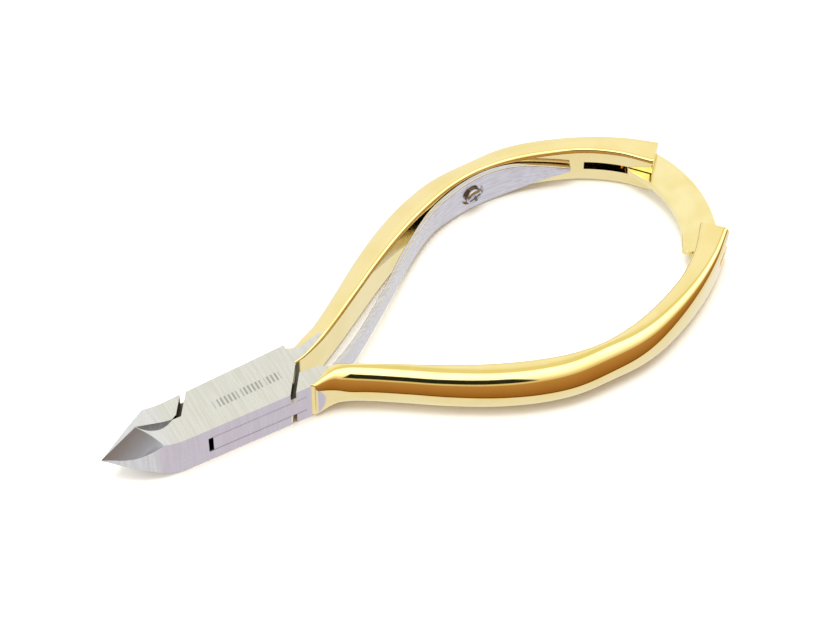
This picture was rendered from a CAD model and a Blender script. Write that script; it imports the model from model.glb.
"""Cuticle nipper: detailed pieces, materials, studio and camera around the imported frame."""
import math

import bmesh
import bpy
from mathutils import Matrix, Vector


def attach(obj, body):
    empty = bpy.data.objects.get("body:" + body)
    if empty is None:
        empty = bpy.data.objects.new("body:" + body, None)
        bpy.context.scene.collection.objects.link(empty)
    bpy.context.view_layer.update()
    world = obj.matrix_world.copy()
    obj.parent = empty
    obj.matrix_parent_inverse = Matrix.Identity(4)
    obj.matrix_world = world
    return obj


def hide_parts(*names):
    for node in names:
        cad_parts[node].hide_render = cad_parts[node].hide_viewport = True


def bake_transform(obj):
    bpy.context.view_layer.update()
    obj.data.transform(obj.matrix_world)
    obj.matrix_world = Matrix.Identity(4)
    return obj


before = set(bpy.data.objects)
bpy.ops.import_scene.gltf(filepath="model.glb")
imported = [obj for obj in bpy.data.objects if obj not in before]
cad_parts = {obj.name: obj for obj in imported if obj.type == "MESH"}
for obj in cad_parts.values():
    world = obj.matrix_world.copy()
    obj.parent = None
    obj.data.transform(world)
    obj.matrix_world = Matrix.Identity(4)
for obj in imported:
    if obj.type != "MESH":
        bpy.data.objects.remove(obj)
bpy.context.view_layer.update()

MM = 0.001

# ---- dimensions in millimetres, the CAD's apart from the handles' finer form ---------------------
BODY_HEIGHT = 8.6
MID_Z = BODY_HEIGHT / 2
LOWER_SLAB_TOP = 2.45
UPPER_SLAB_BOTTOM = 6.1
LAYER_CLEARANCE = 0.05
BLOCK_HALF_FRONT = 4.25
BLOCK_HALF_REAR = 5.0
BLOCK_FRONT_X = -12.9
BLOCK_REAR_X = 10.9
TIP = Vector((-25.0, 1.1, 5.3))
HEEL = Vector((-18.5, 0.9, 10.48))
PARTING_REAR = (-12.2, 0.45)
JAW_GAP = 0.03
FACET_RADIUS = 15.0
FACET_CORNER_X = -15.9
FACET_CORNER_Z = 9.3
HOLLOW_DEPTH = 1.35
BEVEL_START_X = -12.9
SLANT = 0.72
SLAB_FRONT_X = -10.75
SLAB_REAR_X = 10.6
SLAB_GAP = 0.87
WINDOW_X = 8.05
WINDOW_GAP = 0.87
CROTCH_FAR_Y = 0.3
CROTCH_NEAR_Y = -1.5
PIN_RADIUS = 2.0
PIN_TOP = 7.5
FIT = 0.05
HANDLE_PATH = [
    (9.3, 2.45, 4.2), (12.2, 2.38, 3.1), (16.0, 4.3, 3.85), (20.5, 6.7, 3.8), (26.0, 10.0, 3.85),
    (32.0, 13.7, 4.05), (39.0, 17.55, 4.3), (46.0, 20.6, 4.5), (52.5, 22.55, 4.6), (58.5, 23.1, 4.55),
    (65.0, 22.3, 4.4), (71.6, 20.2, 4.1), (77.85, 17.25, 3.8), (83.2, 13.5, 4.05), (87.5, 9.3, 4.75),
]
HANDLE_HEIGHT = 8.2
PALM_CROWN, END_CROWN = 1.2, 0.5
CROWN_FROM, CROWN_TO, CROWN_FADE_TO = 0.08, 0.5, 0.85
CHEEK = 1.8
CHEEK_FULL, CHEEK_FADE_FROM, CHEEK_FADE_TO = 0.08, 0.085, 0.15
PALM_ROUND, PALM_ROUND_HEIGHT = 3.7, 3.95
END_ROUND, END_ROUND_HEIGHT = 1.1, 1.3
END_ROUND_FROM = 0.6
OVERALL_HALF_WIDTH = 25.34
INNER_ROUND = 0.75
ROOT_ROUND = 0.25
ROUND_FROM, ROUND_TO = 0.035, 0.19
SLOT_HALF = 0.95
SLOT_CENTRE, SLOT_RADIUS = (80.0, 8.0), 8.3
LATCH_CENTRE = (68.0, 1.5)
LATCH_INNER, LATCH_OUTER = 17.1, 23.3
LATCH_THICKNESS = 1.5
LATCH_FAR_DEG, LATCH_NEAR_DEG = 27.0, -37.0
RIVET_RADIUS, RIVET_TOP = 1.1, 7.3
SPRING_THICKNESS = 0.85
SPRING_FACE_GAP = 0.14
SPRING_SCREW_X = 56.2
SPRING_FREE = [(16.9, -2.15, 5.6), (21.5, 0.3, 5.0), (27.0, 3.95, 4.4), (33.0, 8.35, 4.3), (39.0, 13.0, 4.8)]
SPRING_SEATED = [(46.0, 5.9), (51.0, 6.9), (56.0, 7.5), (61.0, 7.6), (66.0, 6.4), (70.5, 4.0), (75.5, 1.0)]
SPRING_RECESS_RADIUS, SPRING_RECESS_DEPTH = 2.3, 0.35
SCREW_HEAD_RADIUS, SCREW_HEAD_HEIGHT = 1.6, 1.25
SCREW_SHANK_RADIUS, SCREW_DEPTH = 0.95, 3.0
SCREW_SLOT_WIDTH, SCREW_SLOT_DEPTH = 0.5, 0.55

HANDLE_RINGS = 240
CORNER_STEPS = 14
TALL = BODY_HEIGHT + 5
FAR_OUT = 9.0


# ---- mesh helpers --------------------------------------------------------------------------------
def mesh_object(name, vertices, faces):
    mesh = bpy.data.meshes.new(name)
    mesh.from_pydata([tuple(v) for v in vertices], [], faces)
    work = bmesh.new()
    work.from_mesh(mesh)
    bmesh.ops.recalc_face_normals(work, faces=work.faces)
    work.to_mesh(mesh)
    work.free()
    piece = bpy.data.objects.new(name, mesh)
    bpy.context.scene.collection.objects.link(piece)
    return piece


def bake(piece):
    """Applies the piece's modifiers to its mesh."""
    bpy.context.view_layer.update()
    depsgraph = bpy.context.evaluated_depsgraph_get()
    mesh = bpy.data.meshes.new_from_object(piece.evaluated_get(depsgraph))
    piece.modifiers.clear()
    piece.data = mesh
    return piece


def combine(piece, other, operation):
    """Boolean of piece with other, which is used up."""
    modifier = piece.modifiers.new("boolean", "BOOLEAN")
    modifier.operation = operation
    modifier.solver = "EXACT"
    modifier.object = other
    bake(piece)
    bpy.data.objects.remove(other)
    return piece


def cut(piece, other):
    return combine(piece, other, "DIFFERENCE")


def join(piece, other):
    return combine(piece, other, "UNION")


def common(piece, other):
    return combine(piece, other, "INTERSECT")


def duplicate(piece):
    copy = bpy.data.objects.new(piece.name, piece.data.copy())
    bpy.context.scene.collection.objects.link(copy)
    return copy


def mirrored(piece):
    piece.data.transform(Matrix.Diagonal((1, -1, 1, 1)))
    piece.data.flip_normals()
    return piece


def prism(points, low, high):
    count = len(points)
    vertices = [(x, y, low) for x, y in points] + [(x, y, high) for x, y in points]
    faces = [tuple(range(count - 1, -1, -1)), tuple(range(count, 2 * count))]
    faces += [(k, (k + 1) % count, count + (k + 1) % count, count + k) for k in range(count)]
    return mesh_object("prism", vertices, faces)


def side_prism(points, start, end):
    piece = prism([(x, z) for x, z in points], start, end)
    piece.data.transform(Matrix(((1, 0, 0, 0), (0, 0, 1, 0), (0, 1, 0, 0), (0, 0, 0, 1))))
    piece.data.flip_normals()
    return piece


def cylinder(radius, low, high, x=0.0, y=0.0, segments=96):
    ring = [
        (x + radius * math.cos(math.tau * k / segments), y + radius * math.sin(math.tau * k / segments))
        for k in range(segments)
    ]
    return prism(ring, low, high)


def loft(name, rings):
    count = len(rings[0])
    vertices = [point for ring in rings for point in ring]
    faces = []
    for s in range(len(rings) - 1):
        for k in range(count):
            a, b = s * count + k, s * count + (k + 1) % count
            faces.append((a, b, b + count, a + count))
    faces.append(tuple(range(count - 1, -1, -1)))
    last = (len(rings) - 1) * count
    faces.append(tuple(range(last, last + count)))
    return mesh_object(name, vertices, faces)


def lerp(a, b, t):
    return a + (b - a) * t


def smoothstep(start, end, value):
    t = min(1.0, max(0.0, (value - start) / (end - start)))
    return t * t * (3 - 2 * t)


def within(wanted, room):
    """The wanted length, eased so that it never passes the room there is."""
    return wanted * room / (wanted + room) if wanted > 0 else 0.0


class Curve:
    """Centripetal Catmull-Rom curve through points, the same as the CAD's."""

    def __init__(self, points):
        self.points = [Vector(p) for p in points]

    def at(self, t):
        points = self.points
        spans = len(points) - 1
        place = t * spans
        i = min(int(place), spans - 1)
        w = place - i
        p1, p2 = points[i], points[i + 1]
        p0 = points[i - 1] if i > 0 else p1 * 2 - p2
        p3 = points[i + 2] if i + 2 <= spans else p2 * 2 - p1
        d0, d1, d2 = (max((b - a).length_squared ** 0.25, 1e-4) for a, b in ((p0, p1), (p1, p2), (p2, p3)))
        t1 = ((p1 - p0) / d0 - (p2 - p0) / (d0 + d1) + (p2 - p1) / d1) * d1
        t2 = ((p2 - p1) / d1 - (p3 - p1) / (d1 + d2) + (p3 - p2) / d2) * d1
        c2 = p1 * -3 + p2 * 3 - t1 * 2 - t2
        c3 = p1 * 2 - p2 * 2 + t1 + t2
        return p1 + t1 * w + c2 * w * w + c3 * w ** 3

    def outward(self, t):
        step = 1e-4
        d = self.at(min(1.0, t + step)) - self.at(max(0.0, t - step))
        d = Vector((d.x, d.y)).normalized()
        return Vector((-d.y, d.x))

    def parameter_at_x(self, x):
        low, high = 0.0, 1.0
        for _ in range(40):
            middle = (low + high) / 2
            if self.at(middle).x < x:
                low = middle
            else:
                high = middle
        return (low + high) / 2


def section_ring(centre, outward, half_width, half_height, outer, inner, crown=0.0, steps=CORNER_STEPS):
    """Ring with elliptical corners: outer and inner are (across, height) radii."""
    ring = []
    corners = ((1, 1, outer, 0), (-1, 1, inner, 90), (-1, -1, inner, 180), (1, -1, outer, 270))
    for side_n, side_z, radii, start in corners:
        reach = half_width + (crown if side_n > 0 else 0)
        for i in range(steps + 1):
            angle = math.radians(start + 90 * i / steps)
            n = side_n * (reach - radii[0]) + radii[0] * math.cos(angle)
            z = side_z * (half_height - radii[1]) + radii[1] * math.sin(angle)
            ring.append((centre.x + outward.x * n, centre.y + outward.y * n, MID_Z + z))
    return ring


# ---- handles -------------------------------------------------------------------------------------
handle_curve = Curve(HANDLE_PATH)


def handle_solid(cheek):
    rings = []
    for i in range(HANDLE_RINGS + 1):
        t = i / HANDLE_RINGS
        point = handle_curve.at(t)
        rounding = smoothstep(ROUND_FROM, ROUND_TO, t)
        ending = smoothstep(END_ROUND_FROM, 1, t)
        crown = cheek * smoothstep(0, CHEEK_FULL, t) * (1 - smoothstep(CHEEK_FADE_FROM, CHEEK_FADE_TO, t))
        crown += smoothstep(CROWN_FROM, CROWN_TO, t) * lerp(
            PALM_CROWN, END_CROWN, smoothstep(CROWN_TO, CROWN_FADE_TO, t))
        outward = handle_curve.outward(t)
        crown = within(crown, OVERALL_HALF_WIDTH - point.y - outward.y * point.z / 2)
        inner = lerp(ROOT_ROUND, INNER_ROUND, rounding)
        across = lerp(lerp(ROOT_ROUND, PALM_ROUND, rounding), END_ROUND, ending)
        height = lerp(lerp(ROOT_ROUND, PALM_ROUND_HEIGHT, rounding), END_ROUND_HEIGHT, ending)
        rings.append(section_ring(
            point, outward, point.z / 2,
            lerp(BODY_HEIGHT - 0.04, HANDLE_HEIGHT, rounding) / 2, (across, height), (inner, inner), crown))
    return loft("handle", rings)


def fork_slot():
    cx, cy = SLOT_CENTRE
    points = []
    for deg in range(55, 181, 3):
        angle = math.radians(deg)
        points.append((cx + SLOT_RADIUS * math.cos(angle), cy + SLOT_RADIUS * math.sin(angle)))
    points += [(cx - SLOT_RADIUS, 0), (cx + 16, 0), (cx + 16, cy + 6)]
    return prism(points, MID_Z - SLOT_HALF, MID_Z + SLOT_HALF)


# ---- head ----------------------------------------------------------------------------------------
def smooth_outline(points, steps=6):
    """Rounds a run of outline points with a Catmull-Rom curve."""
    curve = Curve([(x, y, 0) for x, y in points])
    total = (len(points) - 1) * steps
    return [tuple(curve.at(k / total))[:2] for k in range(total + 1)]


def head_envelope():
    far = smooth_outline([(BLOCK_FRONT_X, 4.25), (-16.0, 4.1), (-18.0, 3.75), (-20.0, 3.2), (-22.0, 2.5),
                          (-23.8, 1.75), (TIP.x, TIP.y + 0.06)])
    near = smooth_outline([(TIP.x, TIP.y - 0.06), (-23.8, 0.25), (-22.0, -1.15), (-20.0, -2.45),
                           (-18.0, -3.35), (-16.0, -3.95), (BLOCK_FRONT_X, -BLOCK_HALF_FRONT)])
    outline = [
        (BLOCK_REAR_X, -BLOCK_HALF_REAR), (BLOCK_REAR_X, BLOCK_HALF_REAR - 0.3),
        (SLAB_FRONT_X + SLANT * BLOCK_HALF_FRONT, BLOCK_HALF_FRONT + 0.1), *far, *near,
    ]
    side = [
        (BLOCK_REAR_X + 1, 0), (BLOCK_REAR_X + 1, BODY_HEIGHT),
        *smooth_outline([(-12.4, BODY_HEIGHT), (-14.2, BODY_HEIGHT + 0.3), (HEEL.x, HEEL.z)]),
        (TIP.x, TIP.z), (TIP.x, TIP.z - 0.3),
        (-21.3, 3.9), (-17.5, 2.15), (BEVEL_START_X - 0.6, 0.12), (BEVEL_START_X, 0),
    ]
    return common(prism(outline, -1, BODY_HEIGHT + 4), side_prism(side, -8, 8))


def facet_cutter(side_sign):
    """Concave cylinder through the cutting edge and one outer corner, axis parallel to the edge."""
    edge = (HEEL - TIP).normalized()
    corner = Vector((FACET_CORNER_X, 4.1 if side_sign > 0 else -3.95, FACET_CORNER_Z))
    across = corner - TIP
    across -= edge * across.dot(edge)
    chord = across.length
    across.normalize()
    up = edge.cross(across)
    if up.z < 0:
        up.negate()
    rise = math.sqrt(FACET_RADIUS ** 2 - (chord / 2) ** 2)
    centre = TIP + across * (chord / 2) + up * rise + edge * ((HEEL - TIP).length / 2)
    piece = cylinder(FACET_RADIUS, -22, 22, segments=720)
    turn = Vector((0, 0, 1)).rotation_difference(edge).to_matrix().to_4x4()
    piece.data.transform(Matrix.Translation(centre) @ turn)
    return piece


def jaw_region(side_sign, rear):
    gap = side_sign * JAW_GAP
    return [
        (TIP.x - 2, TIP.y + gap), (HEEL.x, HEEL.y + gap), (PARTING_REAR[0], PARTING_REAR[1] + gap),
        *rear, (TIP.x - 2, side_sign * FAR_OUT),
    ]


def hollow():
    x0, x1 = HEEL.x + 0.2, PARTING_REAR[0] + 0.1
    steps = 40
    points = []
    for i in range(steps + 1):
        u = i / steps
        depth = HOLLOW_DEPTH * max(0.0, math.sin(math.pi * u ** 0.85)) ** 0.8
        points.append((lerp(x0, x1, u), lerp(HEEL.y, PARTING_REAR[1], u) - depth))
    for i in range(steps, -1, -1):
        u = i / steps
        depth = 0.12 * math.sin(math.pi * u)
        points.append((lerp(x0, x1, u), lerp(HEEL.y, PARTING_REAR[1], u) + 0.02 + depth))
    return prism(points, -1, BODY_HEIGHT + 4)


def front_edge(y, shift=0.0):
    return (SLAB_FRONT_X + SLANT * y + shift, y)


def rear_edge(y, shift=0.0):
    return (SLAB_REAR_X + SLANT * y + shift, y)


gap_along_x = SLAB_GAP * math.hypot(1, SLANT)
tongue_x = WINDOW_X - WINDOW_GAP

box_outer_plan = jaw_region(-1, [
    front_edge(0.15), front_edge(FAR_OUT), (BLOCK_REAR_X + 2, FAR_OUT), (BLOCK_REAR_X + 2, CROTCH_FAR_Y),
    rear_edge(CROTCH_FAR_Y), rear_edge(-FAR_OUT),
])
box_front_wall = jaw_region(-1, [(-WINDOW_X - 1.2, 0.25), (-WINDOW_X, -0.9), (-WINDOW_X, -FAR_OUT)])
box_rear_wall = [
    (WINDOW_X, FAR_OUT), (WINDOW_X, 1.6), (WINDOW_X + 1.2, CROTCH_FAR_Y),
    (BLOCK_REAR_X + 2, CROTCH_FAR_Y), (BLOCK_REAR_X + 2, FAR_OUT),
]
tongue_jaw_plan = jaw_region(1, [front_edge(1.0, -gap_along_x), front_edge(FAR_OUT, -gap_along_x)])
tongue_root_plan = [
    rear_edge(CROTCH_NEAR_Y, gap_along_x), (BLOCK_REAR_X + 2, CROTCH_NEAR_Y - 0.35),
    (BLOCK_REAR_X + 2, -FAR_OUT), rear_edge(-FAR_OUT, gap_along_x),
]
tongue_mid_plan = [
    (-13.5, 0.9), (-10.4, 0.75), (-tongue_x - 1.0, 0.2), (-tongue_x, -0.9), (-tongue_x, -FAR_OUT),
    (12, -FAR_OUT),
    (12, CROTCH_NEAR_Y - 0.3), (tongue_x + 1.0, CROTCH_NEAR_Y), (tongue_x, 1.2), (tongue_x, FAR_OUT),
    (-13.5, FAR_OUT),
]
crotch_cut = [
    (8, CROTCH_NEAR_Y), (10.5, CROTCH_NEAR_Y), (13.5, CROTCH_NEAR_Y - 0.3), (16.8, CROTCH_NEAR_Y - 1.6),
    (16.8, 3), (8, 3),
]
slab_end_cut = [rear_edge(3, gap_along_x), (4, 3), (4, -FAR_OUT), rear_edge(-FAR_OUT, gap_along_x)]

rivet_angle = math.radians(LATCH_FAR_DEG)
rivet_middle = (LATCH_INNER + LATCH_OUTER) / 2
rivet_x = LATCH_CENTRE[0] + rivet_middle * math.cos(rivet_angle)
rivet_y = LATCH_CENTRE[1] + rivet_middle * math.sin(rivet_angle)


def soften(piece, width, angle=28, segments=2):
    """Small bevel on the sharp edges."""
    modifier = piece.modifiers.new("bevel", "BEVEL")
    modifier.width = width
    modifier.segments = segments
    modifier.limit_method = "ANGLE"
    modifier.angle_limit = math.radians(angle)
    modifier.miter_outer = "MITER_ARC"
    modifier.use_clamp_overlap = True
    return bake(piece)


def region_box():
    region = join(prism(box_outer_plan, -1, LOWER_SLAB_TOP), prism(box_outer_plan, UPPER_SLAB_BOTTOM, TALL))
    region = join(region, prism(box_front_wall, -1, TALL))
    return join(region, prism(box_rear_wall, -1, TALL))


def region_tongue():
    region = join(prism(tongue_jaw_plan, -1, TALL), prism(tongue_root_plan, -1, TALL))
    return join(region, prism(
        tongue_mid_plan, LOWER_SLAB_TOP + LAYER_CLEARANCE, UPPER_SLAB_BOTTOM - LAYER_CLEARANCE))


# ---- spring and screw frames ---------------------------------------------------------------------
def seated_point(x, offset):
    t = handle_curve.parameter_at_x(x)
    point, outward = handle_curve.at(t), handle_curve.outward(t)
    reach = point.z / 2 + offset
    return point.x - outward.x * reach, point.y - outward.y * reach


seat_offset = SPRING_FACE_GAP + SPRING_THICKNESS / 2
spring_curve = Curve(
    [*SPRING_FREE, *[(*seated_point(x, seat_offset), height) for x, height in SPRING_SEATED]])

screw_t = handle_curve.parameter_at_x(SPRING_SCREW_X)
screw_out = handle_curve.outward(screw_t)
screw_inward = Vector((-screw_out.x, -screw_out.y, 0))
screw_centre = handle_curve.at(screw_t)
screw_seat = Vector((screw_centre.x, screw_centre.y, MID_Z)) + screw_inward * (screw_centre.z / 2)
seat_turn = Vector((0, 0, 1)).rotation_difference(screw_inward).to_matrix().to_4x4()
seat_matrix = Matrix.Translation(screw_seat) @ seat_turn
leaf_outer = SPRING_FACE_GAP + SPRING_THICKNESS


def on_seat(piece):
    piece.data.transform(seat_matrix)
    return piece


def spring_solid():
    rings = []
    steps = 260
    for i in range(steps + 1):
        t = i / steps
        point = spring_curve.at(t)
        rings.append(section_ring(point, spring_curve.outward(t), SPRING_THICKNESS / 2, point.z / 2,
                                  (0.14, 0.14), (0.14, 0.14), steps=4))
    piece = loft("spring", rings)
    cut(piece, on_seat(cylinder(SCREW_SHANK_RADIUS + FIT, -1, 4)))
    return cut(piece, on_seat(cylinder(SPRING_RECESS_RADIUS, leaf_outer - SPRING_RECESS_DEPTH, 4)))


def lathe(name, profile, segments=96):
    """Turned piece about Z through (radius, height) points."""
    vertices, faces = [], []
    for radius, height in profile:
        for k in range(segments):
            angle = math.tau * k / segments
            vertices.append((radius * math.cos(angle), radius * math.sin(angle), height))
    for s in range(len(profile) - 1):
        for k in range(segments):
            a, b = s * segments + k, s * segments + (k + 1) % segments
            faces.append((a, b, b + segments, a + segments))
    faces.append(tuple(range(segments - 1, -1, -1)))
    last = (len(profile) - 1) * segments
    faces.append(tuple(range(last, last + segments)))
    return mesh_object(name, vertices, faces)


def screw_solid():
    base = leaf_outer - SPRING_RECESS_DEPTH + FIT
    top = base + SCREW_HEAD_HEIGHT
    profile = [
        (SCREW_SHANK_RADIUS - 0.2, -SCREW_DEPTH + 0.1), (SCREW_SHANK_RADIUS, -SCREW_DEPTH + 0.35),
        (SCREW_SHANK_RADIUS, base), (SCREW_HEAD_RADIUS - 0.08, base), (SCREW_HEAD_RADIUS, base + 0.08),
        (SCREW_HEAD_RADIUS, top - 0.42), (SCREW_HEAD_RADIUS - 0.05, top - 0.26),
        (SCREW_HEAD_RADIUS - 0.17, top - 0.13),
        (SCREW_HEAD_RADIUS - 0.34, top - 0.05), (SCREW_HEAD_RADIUS - 0.55, top),
    ]
    piece = lathe("screw", profile)
    half = SCREW_HEAD_RADIUS * 0.725
    side = SCREW_SLOT_WIDTH / 2
    for turn in (0.4, 0.4 + math.pi / 2):
        blade = prism([(-half, -side), (half, -side), (half, side), (-half, side)],
                      top - SCREW_SLOT_DEPTH, top + 0.5)
        blade.data.transform(Matrix.Rotation(turn, 4, "Z"))
        cut(piece, blade)
    return on_seat(soften(piece, 0.04, 35))


def latch_outline():
    half = (LATCH_OUTER - LATCH_INNER) / 2

    def point(radius, deg):
        angle = math.radians(deg)
        return LATCH_CENTRE[0] + radius * math.cos(angle), LATCH_CENTRE[1] + radius * math.sin(angle)

    points = [point(LATCH_OUTER - 0.01, lerp(LATCH_NEAR_DEG + 5, LATCH_FAR_DEG, i / 60)) for i in range(61)]
    ex, ey = point(rivet_middle, LATCH_FAR_DEG)
    for i in range(1, 40):
        angle = math.radians(LATCH_FAR_DEG + 180 * i / 40)
        points.append((ex + half * math.cos(angle), ey + half * math.sin(angle)))
    points += [point(LATCH_INNER, lerp(LATCH_FAR_DEG, LATCH_NEAR_DEG, i / 60)) for i in range(61)]
    points.append(point(LATCH_INNER + 1.2, LATCH_NEAR_DEG - 2.5))
    points.append(point(LATCH_OUTER - 2.2, LATCH_NEAR_DEG - 1.0))
    return points


# ---- build the pieces ----------------------------------------------------------------------------
head = cut(head_envelope(), hollow())
far_handle = soften(cut(handle_solid(0), fork_slot()), 0.12, 40)
near_handle = mirrored(soften(cut(handle_solid(CHEEK), fork_slot()), 0.12, 40))
cut(near_handle, prism(crotch_cut, -1, TALL))
cut(near_handle, prism(slab_end_cut, -1, TALL))

box_head = common(cut(duplicate(head), facet_cutter(-1)), region_box())
soften(box_head, 0.09)
box_half = join(box_head, far_handle)
cut(box_half, cylinder(PIN_RADIUS + FIT, -1, PIN_TOP + FIT))
cut(box_half, cylinder(RIVET_RADIUS + FIT, -1, RIVET_TOP + FIT, rivet_x, rivet_y))
cut(box_half, on_seat(cylinder(SCREW_SHANK_RADIUS + FIT, -SCREW_DEPTH, 2)))

tongue_head = common(cut(head, facet_cutter(1)), region_tongue())
soften(tongue_head, 0.09)
tongue_half = join(tongue_head, near_handle)
cut(tongue_half, cylinder(PIN_RADIUS + FIT, -1, TALL))

pivot_pin = soften(cylinder(PIN_RADIUS, 0, PIN_TOP), 0.05, 40)
latch_rivet = soften(cylinder(RIVET_RADIUS, 0.3, RIVET_TOP, rivet_x, rivet_y), 0.05, 40)
latch_plate = prism(latch_outline(), MID_Z - LATCH_THICKNESS / 2, MID_Z + LATCH_THICKNESS / 2)
cut(latch_plate, cylinder(RIVET_RADIUS + FIT, -1, TALL, rivet_x, rivet_y))
soften(latch_plate, 0.16, 40, 3)
leaf_spring = spring_solid()
spring_screw = screw_solid()


# ---- materials -----------------------------------------------------------------------------------
class Nodes:
    """Short calls for building a node tree."""

    def __init__(self, name):
        self.material = bpy.data.materials.new(name)
        self.material.use_nodes = True
        self.tree = self.material.node_tree
        self.shader = next(n for n in self.tree.nodes if n.type == "BSDF_PRINCIPLED")
        self.place = self.add("ShaderNodeTexCoord")

    def add(self, kind, **values):
        node = self.tree.nodes.new(kind)
        for key, value in values.items():
            setattr(node, key, value)
        return node

    def link(self, source, target):
        self.tree.links.new(source, target)

    def put(self, socket, value):
        if isinstance(value, bpy.types.NodeSocket):
            self.link(value, socket)
        else:
            socket.default_value = value

    def math(self, operation, a, b=0.0, clamp=False):
        node = self.add("ShaderNodeMath", operation=operation, use_clamp=clamp)
        self.put(node.inputs[0], a)
        self.put(node.inputs[1], b)
        return node.outputs[0]

    def ramp(self, value, low, high, to_low=0.0, to_high=1.0):
        node = self.add("ShaderNodeMapRange", interpolation_type="SMOOTHSTEP")
        for socket, number in zip(node.inputs[:5], (value, low, high, to_low, to_high)):
            self.put(socket, number)
        return node.outputs[0]

    def noise(self, scale, detail=3.0, stretch=(1, 1, 1), turn=(0, 0, 0), rough=0.5):
        mapping = self.add("ShaderNodeMapping")
        self.link(self.place.outputs["Object"], mapping.inputs["Vector"])
        mapping.inputs["Scale"].default_value = stretch
        mapping.inputs["Rotation"].default_value = turn
        node = self.add("ShaderNodeTexNoise")
        self.link(mapping.outputs[0], node.inputs["Vector"])
        node.inputs["Scale"].default_value = scale
        node.inputs["Detail"].default_value = detail
        node.inputs["Roughness"].default_value = rough
        return node.outputs["Fac"]

    def mix(self, factor, a, b):
        node = self.add("ShaderNodeMix", data_type="RGBA")
        self.put(node.inputs["Factor"], factor)
        for name, value in (("A", a), ("B", b)):
            socket = next(s for s in node.inputs if s.name == name and s.type == "RGBA")
            self.put(socket, value)
        return next(s for s in node.outputs if s.type == "RGBA")

    def bump(self, height, strength, distance):
        node = self.add("ShaderNodeBump")
        self.link(height, node.inputs["Height"])
        node.inputs["Strength"].default_value = strength
        node.inputs["Distance"].default_value = distance
        self.link(node.outputs[0], self.shader.inputs["Normal"])


STEEL = (0.76, 0.76, 0.75, 1)
STEEL_DARK = (0.70, 0.70, 0.69, 1)
STEEL_SIDE = (0.66, 0.61, 0.66, 1)
STEEL_FACET = (0.40, 0.42, 0.50, 1)
JOINT_DARK = (0.10, 0.09, 0.08, 1)
MARK_GREY = (0.30, 0.30, 0.31, 1)
# places on the halves, in metres
PLATE_SLANT, PLATE_END_MIDDLE = 1.87, 0.0208        # plate's edge on the flats: x per y, x at y = 0
PLATE_END_LEAST, PLATE_END_MOST = 0.0109, 0.0175
SIDE_PLATE_END, SIDE_PLATE_BOW = 0.0132, -130.0     # plate's edge on the sides, bowed in height
SIDE_FACE_FROM, SIDE_FACE_FULL = 0.0036, 0.0040     # how far out a face counts as a side of the block
BAR_PITCH, GROUP_PITCH = 0.00036, 0.0022            # half pitches of the etched bars and their groups
GOLD = (0.95, 0.80, 0.40, 1)
GOLD_DEEP = (0.92, 0.76, 0.34, 1)


def steel_material(name, colour, dark, roughness, grain=0.5):
    n = Nodes(name)
    fine = n.noise(2600, 2, (0.05, 1, 1))
    cloud = n.noise(260, 3)
    n.link(n.mix(n.ramp(fine, 0.3, 0.75), colour, dark), n.shader.inputs["Base Color"])
    n.shader.inputs["Metallic"].default_value = 1.0
    n.link(n.ramp(cloud, 0.3, 0.7, roughness - 0.04, roughness + 0.05), n.shader.inputs["Roughness"])
    n.bump(fine, grain, 0.00001)
    return n.material


def band(n, value, low, high, soft):
    """1 where value lies between low and high."""
    return n.math("MULTIPLY", n.ramp(value, low - soft, low + soft), n.ramp(value, high + soft, high - soft))


def every(n, *masks):
    """1 where all masks are 1."""
    result = masks[0]
    for mask in masks[1:]:
        result = n.math("MULTIPLY", result, mask)
    return result


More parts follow.
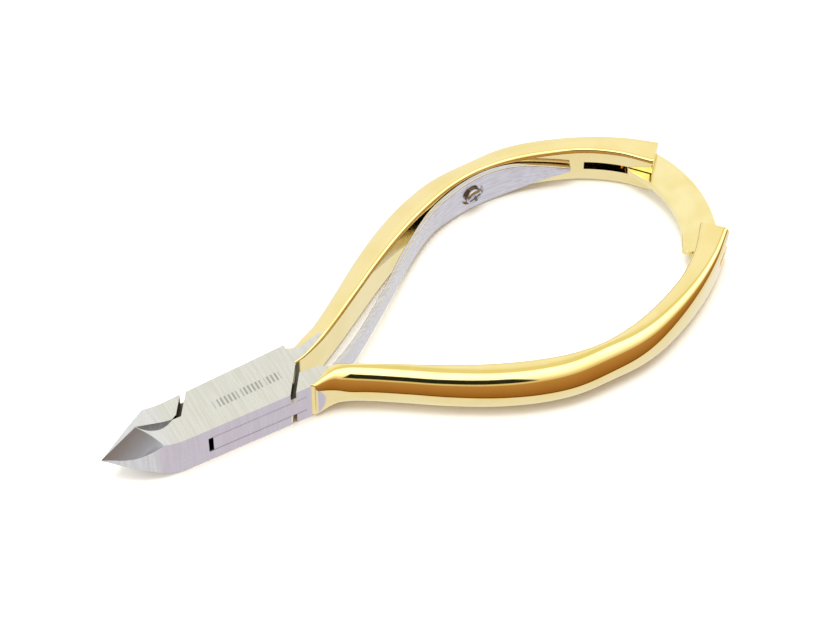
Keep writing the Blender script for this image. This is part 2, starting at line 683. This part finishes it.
def half_material(name):
    """Satin steel on the head, dark in the joint's gaps, polished gold plate on the handles."""
    n = Nodes(name)
    position = n.add("ShaderNodeSeparateXYZ")
    n.link(n.place.outputs["Object"], position.inputs[0])
    normal = n.add("ShaderNodeSeparateXYZ")
    n.link(n.place.outputs["Normal"], normal.inputs[0])
    x, y, z = position.outputs
    beside = n.math("ABSOLUTE", y)
    upright = n.ramp(n.math("ABSOLUTE", normal.outputs[2]), 0.972, 0.992)
    side_face = n.ramp(n.math("ABSOLUTE", normal.outputs[1]), 0.93, 0.97)
    # the plate starts along a slanted line on the flats and along an arc on the sides
    flat_end = n.math("ADD", n.math("MULTIPLY", y, PLATE_SLANT), PLATE_END_MIDDLE)
    flat_end = n.math("MINIMUM", n.math("MAXIMUM", flat_end, PLATE_END_LEAST), PLATE_END_MOST)
    flat = n.math("MULTIPLY", upright, n.ramp(n.math("SUBTRACT", x, flat_end), 0.0002, -0.0002))
    outer = n.ramp(beside, SIDE_FACE_FROM, SIDE_FACE_FULL)
    drop = n.math("POWER", n.math("ABSOLUTE", n.math("SUBTRACT", z, MID_Z * MM)), 2.0)
    side_end = n.math("ADD", n.math("MULTIPLY", drop, SIDE_PLATE_BOW), SIDE_PLATE_END)
    side = every(n, side_face, outer, n.ramp(n.math("SUBTRACT", x, side_end), 0.0002, -0.0002))
    jaws = n.ramp(x, 0.0060, 0.0050)
    steel = n.math("MAXIMUM", n.math("MAXIMUM", flat, side), jaws)
    inside = every(n, band(n, x, -0.0118, 0.0118, 0.0002), n.ramp(beside, 0.0043, 0.0041),
                   band(n, z, 0.0003, 0.0083, 0.0001))
    low_seam = band(n, z, LOWER_SLAB_TOP * MM - 0.00007, LOWER_SLAB_TOP * MM + 0.00007, 0.00004)
    high_seam = band(n, z, UPPER_SLAB_BOTTOM * MM - 0.00005, UPPER_SLAB_BOTTOM * MM + 0.00005, 0.00004)
    seam = n.math("MAXIMUM", low_seam, high_seam)
    seam = every(n, seam, side_face, outer, band(n, x, -0.0080, 0.0100, 0.0002))
    dark = n.math("MAXIMUM", inside, seam)
    facet = every(n, n.ramp(x, -0.0148, -0.0152), band(n, normal.outputs[1], -0.93, -0.28, 0.04),
                  n.ramp(normal.outputs[2], 0.25, 0.35))
    # a generic row of small etched bars on the top slab
    bar = n.ramp(n.math("PINGPONG", x, BAR_PITCH), 0.00016, 0.00022)
    group = n.ramp(n.math("PINGPONG", x, GROUP_PITCH), 0.00030, 0.00040)
    mark = every(n, bar, group, band(n, x, -0.0049, 0.0075, 0.0001), band(n, y, -0.0012, 0.0004, 0.0001),
                 n.ramp(z, 0.00855, 0.00858), upright)
    fine = n.noise(2400, 2, (1, 0.06, 0.06))
    swirl = n.noise(150, 3)
    grain = n.ramp(fine, 0.35, 0.68)
    steel_colour = n.mix(grain, STEEL, STEEL_DARK)
    steel_colour = n.mix(n.math("MULTIPLY", side_face, outer), steel_colour, STEEL_SIDE)
    steel_colour = n.mix(facet, steel_colour, STEEL_FACET)
    steel_colour = n.mix(n.math("MULTIPLY", mark, 0.75), steel_colour, MARK_GREY)
    gold_colour = n.mix(n.ramp(swirl, 0.35, 0.7), GOLD, GOLD_DEEP)
    colour = n.mix(dark, n.mix(steel, gold_colour, steel_colour), JOINT_DARK)
    n.link(colour, n.shader.inputs["Base Color"])
    n.shader.inputs["Metallic"].default_value = 1.0
    gold_rough = n.ramp(swirl, 0.3, 0.7, 0.05, 0.09)
    steel_rough = n.math("ADD", n.ramp(grain, 0.0, 1.0, 0.27, 0.33), n.math("MULTIPLY", facet, 0.2))
    rough = n.add("ShaderNodeMix", data_type="FLOAT")
    n.link(n.math("MAXIMUM", steel, dark), rough.inputs[0])
    n.link(gold_rough, rough.inputs[2])
    n.link(steel_rough, rough.inputs[3])
    n.link(rough.outputs[0], n.shader.inputs["Roughness"])
    n.bump(n.math("MULTIPLY", fine, steel), 0.2, 0.000008)
    return n.material


def gold_material(name, colour, deep, roughness):
    n = Nodes(name)
    swirl = n.noise(200, 3)
    fine = n.noise(2200, 2, (1, 0.08, 1))
    n.link(n.mix(n.ramp(swirl, 0.35, 0.7), colour, deep), n.shader.inputs["Base Color"])
    n.shader.inputs["Metallic"].default_value = 1.0
    n.link(n.ramp(swirl, 0.3, 0.7, roughness - 0.03, roughness + 0.04), n.shader.inputs["Roughness"])
    n.bump(fine, 0.2, 0.000005)
    return n.material


def finish_piece(piece, name, material, body, node, smooth=24):
    piece.name = name
    piece.data.name = name
    piece.data.transform(Matrix.Scale(MM, 4))
    for polygon in piece.data.polygons:
        polygon.use_smooth = True
    piece.data.set_sharp_from_angle(angle=math.radians(smooth))
    modifier = piece.modifiers.new("weighted", "WEIGHTED_NORMAL")
    modifier.keep_sharp = True
    bake(piece)
    piece.data.materials.clear()
    piece.data.materials.append(material)
    if body:
        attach(piece, body)
    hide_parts(node)
    return piece


pin_steel = steel_material("pin_steel", STEEL, STEEL_DARK, 0.3)
spring_steel = steel_material("spring_steel", (0.72, 0.70, 0.72, 1), (0.6, 0.58, 0.61, 1), 0.2, 0.3)
screw_steel = steel_material("screw_steel", (0.62, 0.62, 0.64, 1), (0.45, 0.45, 0.47, 1), 0.22, 0.3)
latch_gold = gold_material("latch_gold", (0.96, 0.84, 0.46, 1), (0.93, 0.79, 0.38, 1), 0.14)

box_plating = half_material("plated_box_half")
tongue_plating = half_material("plated_tongue_half")

finish_piece(box_half, "box_half_detail", box_plating, "box_body", "box_half")
finish_piece(tongue_half, "tongue_half_detail", tongue_plating, "tongue_body", "tongue_half")
finish_piece(pivot_pin, "pivot_pin_detail", pin_steel, "box_body", "pivot_pin")
finish_piece(latch_rivet, "latch_rivet_detail", pin_steel, "box_body", "latch_rivet")
finish_piece(latch_plate, "latch_plate_detail", latch_gold, "latch_body", "latch_plate")
finish_piece(spring_screw, "spring_screw_detail", screw_steel, "box_body", "spring_screw")
finish_piece(leaf_spring, "leaf_spring_detail", spring_steel, None, "leaf_spring")
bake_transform(leaf_spring)


# ---- studio --------------------------------------------------------------------------------------
def floor_material():
    n = Nodes("studio_floor")
    n.shader.inputs["Base Color"].default_value = (0.93, 0.93, 0.93, 1)
    n.shader.inputs["Roughness"].default_value = 0.28
    n.shader.inputs["Specular IOR Level"].default_value = 0.35
    return n.material


FLOOR_HALF = 1.5
FLOOR_DROP = 0.00002      # below the tool, so that the two faces don't share a plane
floor_corners = [(x * FLOOR_HALF, y * FLOOR_HALF, 0) for x, y in ((-1, -1), (1, -1), (1, 1), (-1, 1))]
floor = mesh_object("studio_floor", floor_corners, [(0, 1, 2, 3)])
floor.data.materials.append(floor_material())
floor.location.z = -FLOOR_DROP
floor.visible_glossy = False

world = bpy.data.worlds.new("studio")
bpy.context.scene.world = world
world.use_nodes = True
tree = world.node_tree
background = tree.nodes["Background"]
coordinate = tree.nodes.new("ShaderNodeTexCoord")
separate = tree.nodes.new("ShaderNodeSeparateXYZ")
tree.links.new(coordinate.outputs["Generated"], separate.inputs[0])
sweep = tree.nodes.new("ShaderNodeMath")
sweep.operation = "ARCTAN2"
tree.links.new(separate.outputs["Z"], sweep.inputs[0])
tree.links.new(separate.outputs["Y"], sweep.inputs[1])
share = tree.nodes.new("ShaderNodeMath")
share.operation = "DIVIDE"
share.inputs[1].default_value = math.tau
tree.links.new(sweep.outputs[0], share.inputs[0])
circle = tree.nodes.new("ShaderNodeMath")
circle.operation = "FRACT"
tree.links.new(share.outputs[0], circle.inputs[0])
ramp = tree.nodes.new("ShaderNodeValToRGB")
tree.links.new(circle.outputs[0], ramp.inputs[0])
# degrees round the long axis of the tool: 0 the far horizon, 90 overhead, 180 the near horizon, 270 below
STOPS = [
    (0, (1.0, 1.0, 1.0)), (50, (1.0, 1.0, 1.0)), (58, (1.05, 1.05, 1.02)), (65, (0.87, 0.82, 0.50)),
    (81, (0.87, 0.82, 0.50)), (85, (1.6, 1.6, 1.5)), (98, (2.1, 2.1, 2.0)), (113, (1.6, 1.6, 1.5)),
    (138, (0.85, 0.72, 0.45)), (144, (0.75, 0.60, 0.35)), (146, (0.50, 0.27, 0.10)),
    (180, (0.42, 0.20, 0.06)), (212, (0.30, 0.13, 0.03)), (214, (0.03, 0.02, 0.01)),
    (217, (0.03, 0.02, 0.01)), (218, (0.9, 0.55, 0.15)),
    (220, (0.9, 0.55, 0.15)), (222, (0.88, 0.88, 0.95)), (270, (0.9, 0.9, 0.9)), (360, (1.0, 1.0, 1.0)),
]


def fill_ramp(node, stops):
    """Sets a colour ramp from (degrees, colour) stops."""
    elements = node.color_ramp.elements
    elements[0].position, elements[1].position = 0.0, 1.0
    for degrees, _ in stops[1:-1]:
        elements.new(degrees / 360)
    for element, (degrees, colour) in zip(elements, stops):
        element.position = degrees / 360
        element.color = (*colour, 1)


fill_ramp(ramp, STOPS)
# a dark flag hangs overhead on the jaw side
flag = tree.nodes.new("ShaderNodeValToRGB")
tree.links.new(circle.outputs[0], flag.inputs[0])
FLAG_LEVELS = [(0, 0.0), (114, 0.0), (116, 1.0), (136, 1.0), (138, 0.0), (360, 0.0)]
fill_ramp(flag, [(degrees, (level, level, level)) for degrees, level in FLAG_LEVELS])
edge = tree.nodes.new("ShaderNodeMapRange")
for socket, number in zip(edge.inputs[1:5], (-0.09, -0.13, 0.0, 1.0)):
    socket.default_value = number
tree.links.new(separate.outputs["X"], edge.inputs[0])
both = tree.nodes.new("ShaderNodeMath")
both.operation = "MULTIPLY"
tree.links.new(flag.outputs[0], both.inputs[0])
tree.links.new(edge.outputs[0], both.inputs[1])
shade = tree.nodes.new("ShaderNodeMix")
shade.data_type = "RGBA"
tree.links.new(both.outputs[0], shade.inputs[0])
tree.links.new(ramp.outputs[0], shade.inputs[6])
shade.inputs[7].default_value = (0.02, 0.022, 0.012, 1)
tree.links.new(shade.outputs[2], background.inputs["Color"])
background.inputs["Strength"].default_value = 1.0


def area_light(name, position, target, size, power):
    data = bpy.data.lights.new(name, "AREA")
    data.shape = "RECTANGLE"
    data.size, data.size_y = size
    data.energy = power
    lamp = bpy.data.objects.new(name, data)
    lamp.location = position
    lamp.rotation_euler = (Vector(target) - Vector(position)).to_track_quat("-Z", "Y").to_euler()
    lamp.visible_glossy = False
    bpy.context.scene.collection.objects.link(lamp)
    return lamp


area_light("overhead", (0.05, 0.1, 0.8), (0.03, 0.0, 0.0), (0.5, 0.5), 6.0)
area_light("left_fill", (-0.6, 0.3, 0.5), (0.03, 0.0, 0.0), (0.4, 0.4), 2.0)

# ---- camera --------------------------------------------------------------------------------------
CAMERA_TARGET = (0.03218, -0.00072, 0.0086)
CAMERA_ELEVATION, CAMERA_AZIMUTH, CAMERA_ROLL = 53.786, -119.717, 0.066
CAMERA_DISTANCE = 0.50484
CAMERA_FOCAL_PIXELS, FRAME_WIDTH = 3000.0, 820.0
SENSOR_WIDTH = 36.0

camera_data = bpy.data.cameras.new("camera")
camera_data.sensor_width = SENSOR_WIDTH
camera_data.lens = CAMERA_FOCAL_PIXELS / FRAME_WIDTH * SENSOR_WIDTH
camera_data.clip_start, camera_data.clip_end = 0.01, 10.0
camera = bpy.data.objects.new("camera", camera_data)
bpy.context.scene.collection.objects.link(camera)
elevation, azimuth = math.radians(CAMERA_ELEVATION), math.radians(CAMERA_AZIMUTH)
level = math.cos(elevation)
back = Vector((level * math.cos(azimuth), level * math.sin(azimuth), math.sin(elevation)))
camera.location = Vector(CAMERA_TARGET) + back * CAMERA_DISTANCE
view_turn = (-back).to_track_quat("-Z", "Y").to_matrix() @ Matrix.Rotation(math.radians(CAMERA_ROLL), 3, "Z")
camera.rotation_euler = view_turn.to_euler()
bpy.context.scene.camera = camera
bpy.context.scene.view_settings.view_transform = "Standard"
